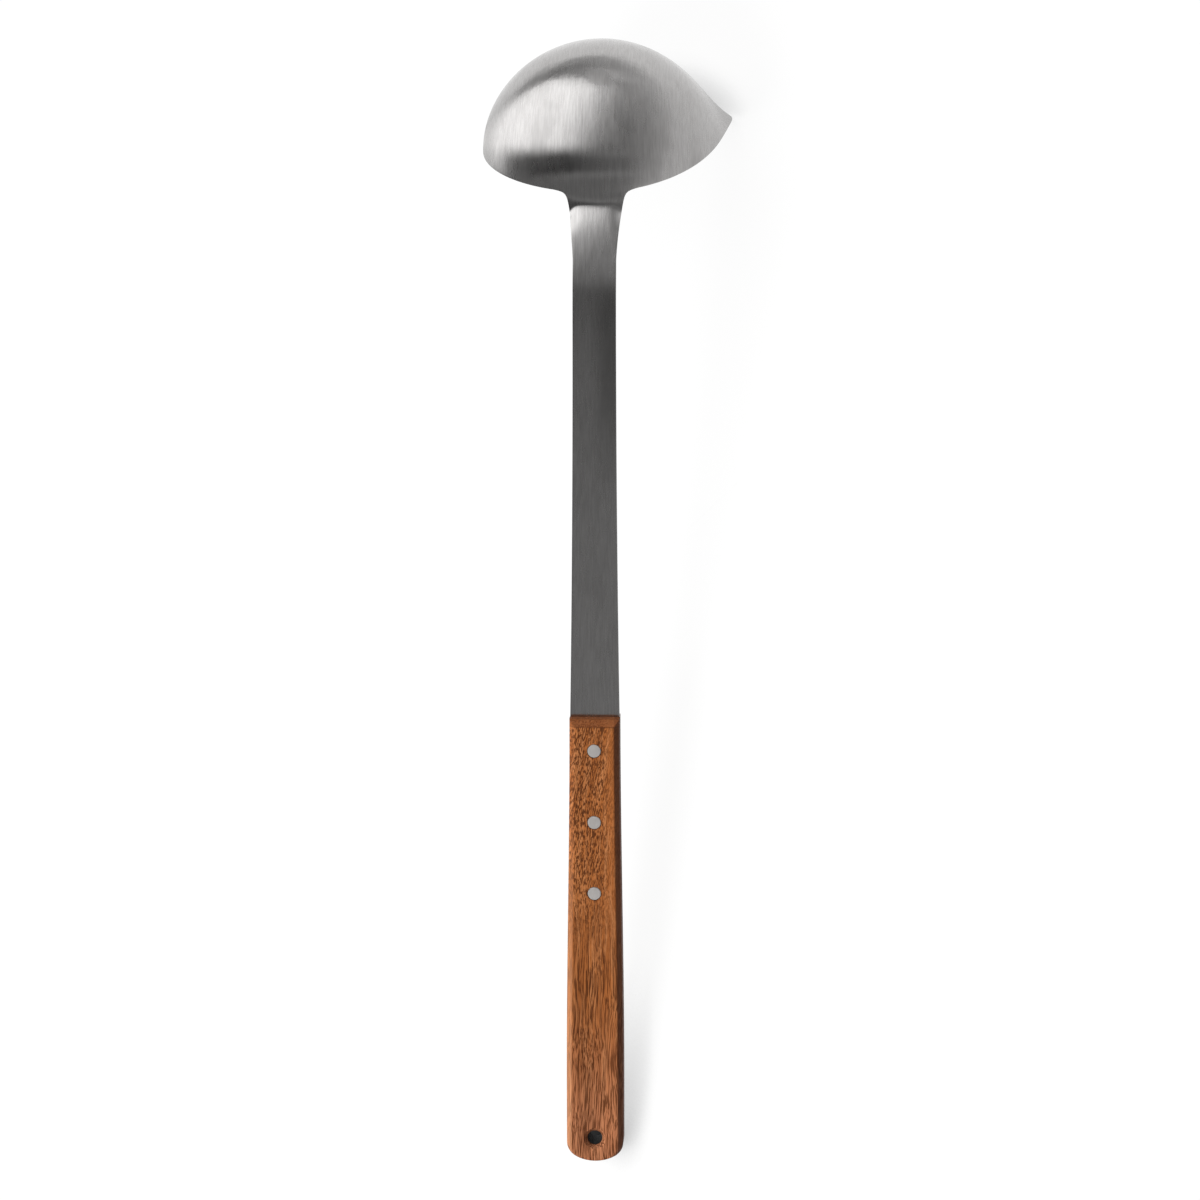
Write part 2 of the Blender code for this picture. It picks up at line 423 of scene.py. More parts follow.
def grey(level: float) -> tuple[float, float, float, float]:
    """A neutral colour with full alpha."""
    return (level, level, level, 1.0)


class Effects:
    """Shader node groups that more than one finish uses, each built once."""

    LINES = (("Fine", 1.0, 1.0), ("Broad", 0.22, 0.45))
    LINE_NOISE = (3.0, 0.6)
    CLOUDS = (("Cloud", (0.25, 0.75)), ("Patch", (0.52, 0.7)))
    CLOUD_NOISE = (3.0, 0.55)

    def __init__(self) -> None:
        """Builds the groups."""
        self.streaks = self._streaks()
        self.clouds = self._clouds()

    @staticmethod
    def _group(
        name: str, numbers: Sequence[str], outputs: Sequence[str]
    ) -> tuple[Graph, bpy.types.Node, bpy.types.Node]:
        """Starts a group that reads a vector and numbers and puts out numbers.

        Args:
            name: The group's name.
            numbers: The names of its inputs, after the vector.
            outputs: The names of its outputs.

        Returns:
            The graph, its input node and its output node.
        """
        tree = bpy.data.node_groups.new(name, "ShaderNodeTree")
        tree.interface.new_socket(name="Vector", in_out="INPUT", socket_type="NodeSocketVector")
        for label in numbers:
            tree.interface.new_socket(name=label, in_out="INPUT", socket_type="NodeSocketFloat")
        for label in outputs:
            tree.interface.new_socket(name=label, in_out="OUTPUT", socket_type="NodeSocketFloat")
        graph = Graph(tree)
        return graph, graph.node("NodeGroupInput"), graph.node("NodeGroupOutput")

    def _streaks(self) -> bpy.types.NodeTree:
        """Lines drawn out along the second coordinate, which is in millimetres.

        Returns:
            The group, with fine and with broad lines.
        """
        graph, into, out = self._group("drawn_out_streaks", ("Across", "Along"), ("Fine", "Broad"))
        for label, wider, longer in self.LINES:
            across = graph.math("MULTIPLY", into.outputs["Across"], wider)
            along = graph.math("MULTIPLY", into.outputs["Along"], longer)
            drawn = graph.vector("MULTIPLY", into.outputs["Vector"], graph.join(across, along, across))
            graph.feed(out.inputs[label], graph.noise(drawn, *self.LINE_NOISE))
        return graph.tree

    def _clouds(self) -> bpy.types.NodeTree:
        """Slow, uneven patches, such as smudges and drifts of colour.

        Returns:
            The group, with soft clouds and with patches that have more of an edge.
        """
        graph, into, out = self._group("slow_clouds", ("Size", "Stretch"), ("Cloud", "Patch"))
        across = graph.math("DIVIDE", 1.0, into.outputs["Size"])
        along = graph.math("DIVIDE", across, into.outputs["Stretch"])
        drawn = graph.vector("MULTIPLY", into.outputs["Vector"], graph.join(across, along, across))
        cloud = graph.noise(drawn, *self.CLOUD_NOISE)
        for label, edge in self.CLOUDS:
            graph.feed(out.inputs[label], graph.step(cloud, *edge))
        return graph.tree

    @staticmethod
    def place(graph: Graph, tree: bpy.types.NodeTree, *sources: object) -> bpy.types.NodeOutputs:
        """Puts a group into a material, feeds its inputs in order and gives its outputs."""
        return graph.feed_all(graph.node("ShaderNodeGroup", node_tree=tree), sources).outputs


def new_material(name: str) -> tuple[bpy.types.Material, Graph, bpy.types.Node]:
    """Starts a material.

    Args:
        name: The material's name.

    Returns:
        The material, its graph and its Principled BSDF.
    """
    material = bpy.data.materials.new(name)
    material.use_nodes = True
    return material, Graph(material.node_tree), material.node_tree.nodes["Principled BSDF"]


@dataclass(frozen=True)
class SatinSteel:
    """Stainless steel, ground along the shank and over the bowl, with marks of use.

    Places and sizes of marks, and of the painted dark reflection on the shank, are in millimetres; depths in
    metres.
    """

    colour: Colour = (0.515, 0.505, 0.50)
    dulled: Colour = (0.40, 0.39, 0.385)
    shaded: Colour = (0.19, 0.185, 0.18)
    roughness: float = 0.26
    grain_roughness: float = 0.14
    smudge_roughness: float = 0.07
    anisotropy: float = 0.90
    lines_per_mm: float = 1.7
    line_reach_per_mm: float = 0.11
    line_contrast: Span = (0.3, 0.7)
    line_shade: float = 0.6
    groove_depth: float = 0.000035
    broad_groove: float = 0.8
    smudge_size: float = 14.0
    smudge_stretch: float = 2.2
    smudge_shade: float = 0.4
    wave_size: float = 10.0
    wave_stretch: float = 5.0
    wave_depth: float = 0.00012
    painted_reflection_side: Span = (-2.5, 5.0)
    painted_reflection_start: Span = (75.0, 125.0)
    painted_reflection_end: Span = (159.0, 143.0)
    painted_reflection_share: float = 0.6
    bump: float = 0.6

    def material(self, effects: Effects) -> bpy.types.Material:
        """Builds the material; its UV map runs across and along the grain, in metres.

        Args:
            effects: The shared shader groups.

        Returns:
            The material.
        """
        material, graph, shader = new_material("satin_steel")
        chart = graph.node("ShaderNodeUVMap", uv_map=Pressing.CHART)
        in_mm = graph.vector("MULTIPLY", chart.outputs["UV"], (MILLIMETRES,) * 3)
        where = graph.own_place()
        lines = Effects.place(graph, effects.streaks, in_mm, self.lines_per_mm, self.line_reach_per_mm)
        smudge = Effects.place(graph, effects.clouds, where, self.smudge_size, self.smudge_stretch)
        wave = Effects.place(graph, effects.clouds, where, self.wave_size, self.wave_stretch)

        shade = graph.step(lines["Fine"], *self.line_contrast, 0.0, self.line_shade)
        shade = graph.math("MULTIPLY_ADD", smudge["Cloud"], self.smudge_shade, shade)
        colour = graph.mix(shade, rgba(self.colour), rgba(self.dulled))
        # Painted reflection: the upper shank's right half is coloured dark, where dark surroundings would
        # mirror
        x, y, _ = graph.split(where)
        end = graph.step(y, *self.painted_reflection_end, 0.0, self.painted_reflection_share)
        painted_reflection = graph.product(graph.step(x, *self.painted_reflection_side), graph.step(y, *self.painted_reflection_start), end)
        graph.feed(shader.inputs["Base Color"], graph.mix(painted_reflection, colour, rgba(self.shaded)))

        least = self.roughness - self.grain_roughness / 2
        rough = graph.math("MULTIPLY_ADD", lines["Broad"], self.grain_roughness, least)
        rough = graph.math("MULTIPLY_ADD", smudge["Patch"], self.smudge_roughness, rough)
        graph.feed(shader.inputs["Roughness"], rough)
        shader.inputs["Metallic"].default_value = 1.0
        shader.inputs["Anisotropic"].default_value = self.anisotropy
        tangent = graph.node("ShaderNodeTangent", direction_type="UV_MAP", uv_map=Pressing.CHART)
        graph.feed(shader.inputs["Tangent"], tangent.outputs["Tangent"])

        groove = graph.math("MULTIPLY_ADD", lines["Broad"], self.broad_groove, lines["Fine"])
        groove = graph.math("MULTIPLY_ADD", wave["Cloud"], self.wave_depth / self.groove_depth, groove)
        graph.bump(shader, groove, self.groove_depth, self.bump)
        return material


@dataclass(frozen=True)
class PinSteel:
    """Steel pins, sanded flush together with the wood."""

    colour: Colour = (0.66, 0.63, 0.61)
    dulled: Colour = (0.52, 0.49, 0.47)
    roughness: float = 0.55
    grain_roughness: float = 0.14
    metallic: float = 0.5
    lines_per_mm: float = 6.0
    line_reach_per_mm: float = 0.4
    line_shade: float = 0.5
    smudge_size: float = 2.0
    smudge_stretch: float = 1.5
    smudge_shade: float = 0.5
    groove_depth: float = 0.00001
    bump: float = 0.5

    def material(self, effects: Effects) -> bpy.types.Material:
        """Builds the material, with sanding lines along the handle.

        Args:
            effects: The shared shader groups.

        Returns:
            The material.
        """
        material, graph, shader = new_material("pin_steel")
        where = graph.own_place()
        lines = Effects.place(graph, effects.streaks, where, self.lines_per_mm, self.line_reach_per_mm)
        smudge = Effects.place(graph, effects.clouds, where, self.smudge_size, self.smudge_stretch)
        shade = graph.math("MULTIPLY", lines["Fine"], self.line_shade)
        shade = graph.math("MULTIPLY_ADD", smudge["Cloud"], self.smudge_shade, shade)
        graph.feed(shader.inputs["Base Color"], graph.mix(shade, rgba(self.colour), rgba(self.dulled)))
        least = self.roughness - self.grain_roughness / 2
        rough = graph.math("MULTIPLY_ADD", lines["Broad"], self.grain_roughness, least)
        graph.feed(shader.inputs["Roughness"], rough)
        shader.inputs["Metallic"].default_value = self.metallic
        graph.bump(shader, lines["Fine"], self.groove_depth, self.bump)
        return material


@dataclass(frozen=True)
class OiledWood:
    """A red-brown open-pored hardwood, oiled, with its grain along the handle.

    Places and sizes of marks are in millimetres, the pores' depth is in metres.
    """

    pale: Colour = (0.55, 0.225, 0.085)
    middle: Colour = (0.44, 0.143, 0.037)
    deep: Colour = (0.215, 0.063, 0.0165)
    pore: Colour = (0.085, 0.024, 0.0065)
    butt: Colour = (0.52, 0.215, 0.118)
    painted_sheen: Colour = (0.50, 0.245, 0.125)
    painted_edge_shade: Colour = (0.088, 0.022, 0.005)
    painted_hole_shade: Colour = (0.019, 0.0195, 0.019)
    roughness: float = 0.50
    specular: float = 0.20
    lean_from: float = -72.0
    lean: float = 0.0013
    wander: float = 8.0
    wander_per_mm: tuple[float, float, float] = (0.07, 0.022, 0.07)
    wander_detail: float = 1.5
    fibres_per_mm: float = 3.2
    fibre_reach_per_mm: float = 0.06
    fibre_height: float = 0.35
    fibre_roughness: float = 0.12
    drift_size: float = 5.0
    drift_stretch: float = 12.0
    drift_share: float = 0.55
    warm_fibres: Span = (0.42, 0.66)
    warm_share: float = 0.6
    near_butt: Span = (-95.0, -160.0)
    butt_share: float = 0.55
    pores_per_mm: float = 3.0
    short_pores_per_mm: float = 0.55
    long_pores_per_mm: float = 0.075
    short_pores: Span = (0.46, 0.56)
    long_pores: Span = (0.455, 0.575)
    short_noise: Span = (2.0, 0.55)
    long_noise: Span = (2.5, 0.6)
    long_from: Span = (-50.0, -100.0)
    calm_side: Span = (2.0, 6.5)
    calm_below: Span = (0.3, 1.0)
    calm_shares: Span = (0.5, 0.1)
    pore_share: float = 0.95
    pore_roughness: float = 0.2
    pore_depth: float = 0.00008
    edge_soft: Span = (-0.25, 0.3)
    painted_edge_shade_share: float = 0.72
    painted_sheen_from: Span = (-20.0, -110.0)
    painted_sheen_share: float = 0.4
    end_soft: float = 0.2
    end_share: float = 0.6
    end_line: Span = (0.45, 0.1)
    end_line_share: float = 0.5
    painted_hole_shade_reach: Span = (0.35, 0.05)
    bump: float = 0.6

    def material(self, effects: Effects, handle: Handle) -> bpy.types.Material:
        """Builds the material in the ladle's own frame, so the grain runs through the whole block.

        Args:
            effects: The shared shader groups.
            handle: The handle, whose edges and hole get painted sheen and shade.

        Returns:
            The material.
        """
        material, graph, shader = new_material("oiled_wood")
        where = graph.own_place()
        x, y, _ = graph.split(where)
        grain = self._grain(graph, where, y)

        fibre = Effects.place(graph, effects.streaks, grain, self.fibres_per_mm, self.fibre_reach_per_mm)
        drift = Effects.place(graph, effects.clouds, grain, self.drift_size, self.drift_stretch)
        warm = graph.step(fibre["Broad"], *self.warm_fibres)
        near_butt = graph.step(y, *self.near_butt)
        pores = self._pores(graph, grain, x, y)
        colour = rgba(self.middle)
        for mask, share, tint in (
            (drift["Cloud"], self.drift_share, self.deep),
            (warm, self.warm_share, self.pale),
            (near_butt, self.butt_share, self.butt),
            (pores, self.pore_share, self.pore),
        ):
            colour = graph.mix(graph.math("MULTIPLY", mask, share), colour, rgba(tint))
        graph.feed(shader.inputs["Base Color"], self._painted_edges_and_hole(graph, colour, x, y, handle))

        least = self.roughness - self.fibre_roughness / 2
        rough = graph.math("MULTIPLY_ADD", fibre["Fine"], self.fibre_roughness, least)
        graph.feed(shader.inputs["Roughness"], graph.math("MULTIPLY_ADD", pores, self.pore_roughness, rough))
        shader.inputs["Specular IOR Level"].default_value = self.specular
        height = graph.math("SUBTRACT", graph.math("MULTIPLY", fibre["Fine"], self.fibre_height), pores)
        graph.bump(shader, height, self.pore_depth, self.bump)
        return material

    def _painted_edges_and_hole(self, graph: Graph, colour: object, x: Socket, y: Socket, handle: Handle) -> Socket:
        """Painted sheen on the left arris, painted shade on the right arris and in the hanging hole's bore.

        Args:
            graph: The material's graph.
            colour: The plain wood's colour.
            x: The place across the handle, in millimetres.
            y: The place along it, in millimetres.
            handle: The handle, in metres.

        Returns:
            The colour's socket.
        """
        narrow = (handle.top_width / 2 - handle.side_chamfer) * MILLIMETRES
        wide = (handle.butt_width / 2 - handle.side_chamfer) * MILLIMETRES
        arris = graph.step(y, 0.0, -handle.swell * MILLIMETRES, narrow, wide)
        inner, outer = self.edge_soft
        # Painted shade: the right arris and its chamfer are coloured dark
        right = graph.step(graph.math("SUBTRACT", x, arris), inner, outer)
        colour = graph.mix(graph.math("MULTIPLY", right, self.painted_edge_shade_share), colour, rgba(self.painted_edge_shade))
        # Painted sheen: the left arris is coloured paler, more towards the butt
        left = graph.step(graph.math("ADD", x, arris), -inner, -outer)
        lower = graph.step(y, *self.painted_sheen_from, 0.0, self.painted_sheen_share)
        colour = graph.mix(graph.math("MULTIPLY", left, lower), colour, rgba(self.painted_sheen))

        chamfer = -handle.end_chamfer * MILLIMETRES
        end = graph.step(y, chamfer - self.end_soft, chamfer + self.end_soft, 0.0, self.end_share)
        colour = graph.mix(end, colour, rgba(self.deep))
        off_line = graph.math("ABSOLUTE", graph.math("SUBTRACT", y, chamfer))
        line = graph.step(off_line, *self.end_line, 0.0, self.end_line_share)
        colour = graph.mix(line, colour, rgba(self.pore))

        # Painted shade: the hanging hole's bore is coloured near black
        from_hole = graph.math("ADD", y, (handle.length - handle.hole_from_butt) * MILLIMETRES)
        bore = handle.hole_diameter / 2 * MILLIMETRES
        off_axis = graph.vector("LENGTH", graph.join(x, from_hole))
        inside = graph.step(off_axis, *(bore + reach for reach in self.painted_hole_shade_reach))
        return graph.mix(inside, colour, rgba(self.painted_hole_shade))

    def _grain(self, graph: Graph, where: Socket, y: Socket) -> Socket:
        """Bends the coordinates, so the grain leans near the top end and wanders elsewhere.

        Args:
            graph: The material's graph.
            where: Coordinates in millimetres.
            y: The place along the handle, in millimetres.

        Returns:
            The bent coordinates.
        """
        slow = graph.node("ShaderNodeTexNoise", noise_dimensions="3D")
        graph.feed(slow.inputs["Vector"], graph.vector("MULTIPLY", where, self.wander_per_mm))
        graph.feed(slow.inputs["Scale"], 1.0)
        graph.feed(slow.inputs["Detail"], self.wander_detail)
        shift = graph.vector("SUBTRACT", slow.outputs["Color"], (0.5, 0.5, 0.5))
        shift = graph.vector("MULTIPLY", shift, (self.wander, 0.0, self.wander))
        above = graph.math("MAXIMUM", graph.math("SUBTRACT", y, self.lean_from), 0.0)
        sideways = graph.join(graph.product(above, above, -self.lean))
        return graph.vector("ADD", graph.vector("ADD", where, shift), sideways)

    def _pores(self, graph: Graph, grain: Socket, x: Socket, y: Socket) -> Socket:
        """Dark dashes along the grain: short ones near the pins, long ones towards the butt.

        Args:
            graph: The material's graph.
            grain: Coordinates along the grain, in millimetres.
            x: The plain place across the handle.
            y: The plain place along it.

        Returns:
            The mask's socket.
        """
        dense = self.pores_per_mm
        short = graph.vector("MULTIPLY", grain, (dense, self.short_pores_per_mm, dense))
        short = graph.step(graph.noise(short, *self.short_noise), *self.short_pores)
        long = graph.vector("MULTIPLY", grain, (dense, self.long_pores_per_mm, dense))
        long = graph.step(graph.noise(long, *self.long_noise), *self.long_pores)
        lower = graph.step(y, *self.long_from)
        dashes = graph.towards(lower, short, long)
        calm = graph.step(lower, *self.calm_below, *self.calm_shares)
        calm = graph.math("MULTIPLY", graph.step(x, *self.calm_side), calm)
        return graph.math("MULTIPLY", dashes, graph.math("SUBTRACT", 1.0, calm))


@dataclass
class Pressing:
    """Bowl, lip, neck, shank and tang, pressed from one sheet, as wide as the handle where they meet."""

    CHART = "grain"

    handle_half: Callable[[float], float]
    sheet: float = 0.0020
    bowl_radius: float = 0.0420
    bowl_depth: float = 0.0386
    bowl_fullness: float = 1.94
    bowl_lean: float = math.radians(15.3)
    lip_reach: float = 0.0070
    lip_spread: float = math.radians(13.5)
    lip_ahead: float = math.radians(19.0)
    lip_point: float = math.radians(5.0)
    lip_fade: float = 8.0
    rim_dip: float = 0.0064
    rim_dip_spread: float = math.radians(116.0)
    neck_length: float = 0.0227
    neck_step: float = 0.0092
    neck_flare: float = 0.00035
    neck_taper: float = 0.0022
    neck_taper_bend: float = 1.3
    neck_wall: float = 0.0025
    neck_valley: float = 0.0050
    neck_crown: float = 0.0300
    neck_quick: float = 0.0065
    neck_slow: float = 0.0240
    neck_quick_share: float = 0.35
    neck_ramp: float = 0.0280
    neck_ramp_share: float = 0.27
    neck_ramp_soft: float = 0.0040
    neck_bend: float = 0.0650
    neck_soft: float = 0.0006
    neck_arch: float = 0.0032
    neck_arch_bend: float = 5.0
    neck_arch_fade: float = 0.0110
    neck_reach: float = math.radians(20.625)
    neck_crowding: float = 1.5
    shank_length: float = 0.1840
    shank_narrow: float = 0.0150
    shank_ease: float = 0.150
    tang_inset: float = 0.0001
    tang_length: float = 0.0780
    edge_round: float = 0.00055
    edge_steps: int = 4
    edge_angle: float = math.radians(60)
    sharp_angle: float = math.radians(40)
    columns: int = 192
    rings: int = 60
    neck_rows: int = 96
    shank_rows: int = 40
    tang_rows: int = 16

    def __post_init__(self) -> None:
        """Works out the bowl's directions and places."""
        self.opening = Vector((0.0, -math.cos(self.bowl_lean), -math.sin(self.bowl_lean)))
        self.to_neck = Vector((0.0, -math.sin(self.bowl_lean), math.cos(self.bowl_lean)))
        self.to_right = Vector((1.0, 0.0, 0.0))
        self.near_rim = Vector((0.0, self.shank_length, self.sheet / 2 - self.neck_step))
        self.rim_centre = self.near_rim - self.bowl_radius * self.to_neck

    def steel_half(self, y: float) -> float:
        """Half the width of the shank, or of the tang inside the wood.

        Args:
            y: The place along the ladle.

        Returns:
            The half width.
        """
        if y <= 0:
            return self.handle_half(y) - self.tang_inset
        wide = self.handle_half(0.0) - self.tang_inset
        narrow = self.shank_narrow / 2
        return narrow + (wide - narrow) * max(1 - y / self.shank_ease, 0.0) ** 2

    def bowl_point(self, azimuth: float, share: float) -> Vector:
        """A point of the bowl's outside.

        Args:
            azimuth: 0 at the right, a quarter turn at the neck.
            share: 0 at the bottom, 1 at the rim.

        Returns:
            The point.
        """
        from_lip = turn_between(azimuth, -self.lip_ahead)
        dip = 0.0
        if abs(from_lip) < self.rim_dip_spread:
            dip = self.rim_dip * (1 + math.cos(math.pi * from_lip / self.rim_dip_spread)) / 2
        turn = share * math.acos((dip / self.bowl_depth) ** (self.bowl_fullness / 2))
        slide = (math.hypot(from_lip, self.lip_point) - self.lip_point) / self.lip_spread
        lip = self.lip_reach * math.exp(-slide) * share**self.lip_fade
        radius = self.bowl_radius * math.sin(turn) ** (2 / self.bowl_fullness) + lip
        depth = self.bowl_depth * max(math.cos(turn), 0.0) ** (2 / self.bowl_fullness)
        outward = math.cos(azimuth) * self.to_right + math.sin(azimuth) * self.to_neck
        return self.rim_centre + radius * outward - depth * self.opening

    def neck_height(self, from_rim: float) -> float:
        """The height of the neck's back: down the bowl's wall, then up in a long bend to the shank.

        Args:
            from_rim: How far the place is from the near rim.

        Returns:
            The height of the sheet's back.
        """
        wall = self._neck_wall(from_rim)
        least = self._climb_left(self.neck_bend)
        left = (self._climb_left(from_rim) - least) / (1 - least)
        back = self.sheet / 2
        bend = back - (back - self._neck_wall(self.neck_valley)) * left
        return (wall + bend + math.hypot(wall - bend, self.neck_soft)) / 2

    def _climb_left(self, from_rim: float) -> float:
        """The share of the climb from the valley that is left: steep at first, then a ramp, then a long ease.

        Args:
            from_rim: How far the place is from the near rim.

        Returns:
            The share, which is 1 at the valley.
        """
        past = from_rim - self.neck_valley
        quick = self.neck_quick_share * math.erfc(past / self.neck_quick)
        to_go = self.neck_ramp - past
        ramp_left = (to_go + math.hypot(to_go, self.neck_ramp_soft)) / (2 * self.neck_ramp)
        slow = 1 - self.neck_quick_share - self.neck_ramp_share
        return quick + self.neck_ramp_share * ramp_left + slow * math.erfc(past / self.neck_slow)

    def _neck_wall(self, from_rim: float) -> float:
        """The height of the bowl's wall, drawn on past the near rim and levelling out."""
        fall = math.tan(self.bowl_lean) * self.neck_wall
        return self.near_rim.z - fall * (1 - math.exp(-from_rim / self.neck_wall))

    def neck_half(self, from_rim: float, rim_half: float, narrow: float) -> float:
        """Half the neck's width.

        Args:
            from_rim: How far the place is from the near rim.
            rim_half: Half the width that it has at the rim.
            narrow: Half the plain shank's width there.

        Returns:
            The half width.
        """
        least = 1 / (1 + self.neck_length / self.neck_flare)
        flare = max((1 / (1 + from_rim / self.neck_flare) - least) / (1 - least), 0.0)
        taper = self.neck_taper * max(1 - from_rim / self.neck_length, 0.0) ** self.neck_taper_bend
        return narrow + taper + (rim_half - narrow - self.neck_taper) * flare

    def neck_row(self, from_rim: float, rim_row: Sequence[Vector], narrow: float) -> list[Vector]:
        """One row of points across the neck, whose valley arches back at both edges.

        Args:
            from_rim: How far the row is from the near rim.
            rim_row: The rim points that the neck grows out of.
            narrow: Half the plain shank's width there.

        Returns:
            The row.
        """
        rim_half = rim_row[0].x
        half = self.neck_half(from_rim, rim_half, narrow)
        lift = (self.neck_height(0.0) - self.near_rim.z) * (1 - from_rim / self.neck_bend)
        crown = 1 - ease(from_rim / self.neck_crown)
        like_rim = 1 - ease(from_rim / self.neck_valley)
        late = self.neck_arch * ease(from_rim / (self.neck_valley + self.neck_arch))
        late *= 1 - ease((from_rim - self.neck_valley) / self.neck_arch_fade)
        row = []
        for point in rim_row:
            share = point.x / rim_half
            x = share * half
            z = self.neck_height(from_rim - late * abs(share) ** self.neck_arch_bend) - lift
            place = Vector((x, self.shank_length - from_rim, z))
            row.append(place - crown * self._sag(x) + like_rim * self._rim_off(x))
        return row

    def _sag(self, x: float) -> Vector:
        """How far a plain circle of the rim's size falls off beside its middle."""
        return (self.bowl_radius - math.sqrt(self.bowl_radius**2 - x**2)) * self.to_neck

    def _rim_off(self, x: float) -> Vector:
        """How far the near rim is from a plain circle, beside its middle."""
        off = self.bowl_point(math.acos(x / self.bowl_radius), 1.0) - self.near_rim + self._sag(x)
        return Vector((0.0, off.y, off.z))

    def bowl_chart(self, point: Vector) -> tuple[float, float]:
        """Where a bowl point lies on the grain's chart; the grain circles the bowl from side to side.

        Args:
            point: The point.

        Returns:
            How far it lies across and along the grain.
        """
        arm = point - self.rim_centre
        across = math.asin(max(min(arm.dot(self.to_right) / arm.length, 1.0), -1.0))
        along = math.atan2(arm.dot(self.to_neck), -arm.dot(self.opening))
        return self.bowl_radius * across, self.bowl_radius * along

    def _bowl(self, shape: Shape) -> list[int]:
        """Adds the bowl's outside to a shape.

        Args:
            shape: The empty shape.

        Returns:
            The indices of the rim points that the neck grows out of.
        """
        step = 2 * math.pi / self.columns
        spread = round(2 * self.neck_reach / step)
        start = math.pi / 2 - spread * step / 2
        azimuths = [start + column * step for column in range(self.columns)]
        bottom = shape.add_row([self.bowl_point(0.0, 0.0)])[0]
        rings = []
        for ring in range(1, self.rings + 1):
            rings.append(shape.add_row([self.bowl_point(azimuth, ring / self.rings) for azimuth in azimuths]))
        for column in range(self.columns):
            shape.faces.append([bottom, rings[0][column], rings[0][(column + 1) % self.columns]])
        for low, high in zip(rings, rings[1:]):
            shape.bridge(low, high, closed=True)
        return rings[-1][: spread + 1]

    def _strips(self, rim_row: Sequence[Vector]) -> list[list[Vector]]:
        """Rows of points across the neck, the shank and the tang.

        Args:
            rim_row: The rim points that the neck grows out of.

        Returns:
            The rows, from the bowl to the tang's end.
        """
        strips = []
        for row in range(1, self.neck_rows + 1):
            from_rim = self.neck_bend * (row / self.neck_rows) ** self.neck_crowding
            narrow = self.steel_half(self.shank_length - from_rim)
            strips.append(self.neck_row(from_rim, rim_row, narrow))
        bend_end = self.shank_length - self.neck_bend
        stations = [bend_end * (1 - row / self.shank_rows) for row in range(1, self.shank_rows + 1)]
        stations += [-self.tang_length * row / self.tang_rows for row in range(1, self.tang_rows + 1)]
        for y in stations:
            half = self.steel_half(y)
            strips.append([Vector((point.x / rim_row[0].x * half, y, self.sheet / 2)) for point in rim_row])
        return strips

    def _thicken(self, item: bpy.types.Object) -> None:
        """Turns the surface into sheet, thickened to the bowl's inside, with rounded edges.

        Args:
            item: The surface.
        """
        thicken = item.modifiers.new("sheet", "SOLIDIFY")
        thicken.thickness = self.sheet
        thicken.offset = -1.0
        thicken.use_even_offset = False
        edges = item.modifiers.new("edges", "BEVEL")
        edges.width = self.edge_round
        edges.segments = self.edge_steps
        edges.limit_method = "ANGLE"
        edges.angle_limit = self.edge_angle
        settle(item)

    def build(self, pin_cutters: Sequence[bpy.types.Object]) -> bpy.types.Object:
        """Builds the pressing.

        Args:
            pin_cutters: What the pin holes take out of the tang.

        Returns:
            The piece.
        """
        shape = Shape("ladle_pressing")
        before = self._bowl(shape)
        charts = [self.bowl_chart(point) for point in shape.points]
        rim_row = [shape.points[index] for index in before]
        middle = len(rim_row) // 2
        run = charts[before[middle]][1]
        last = rim_row[middle]
        for strip in self._strips(rim_row):
            run += (strip[middle] - last).length
            last = strip[middle]
            these = shape.add_row(strip)
            charts.extend((point.x, run) for point in strip)
            shape.bridge(before, these, closed=False)
            before = these

        item = shape.build()
        mesh = item.data
        if mesh.polygons[0].normal.dot(self.opening) > 0:
            mesh.flip_normals()
        layer = mesh.uv_layers.new(name=self.CHART)
        for loop in mesh.loops:
            layer.data[loop.index].uv = charts[loop.vertex_index]
        self._thicken(item)
        cut_out(item, pin_cutters)
        smooth(item, self.sharp_angle)
        return item


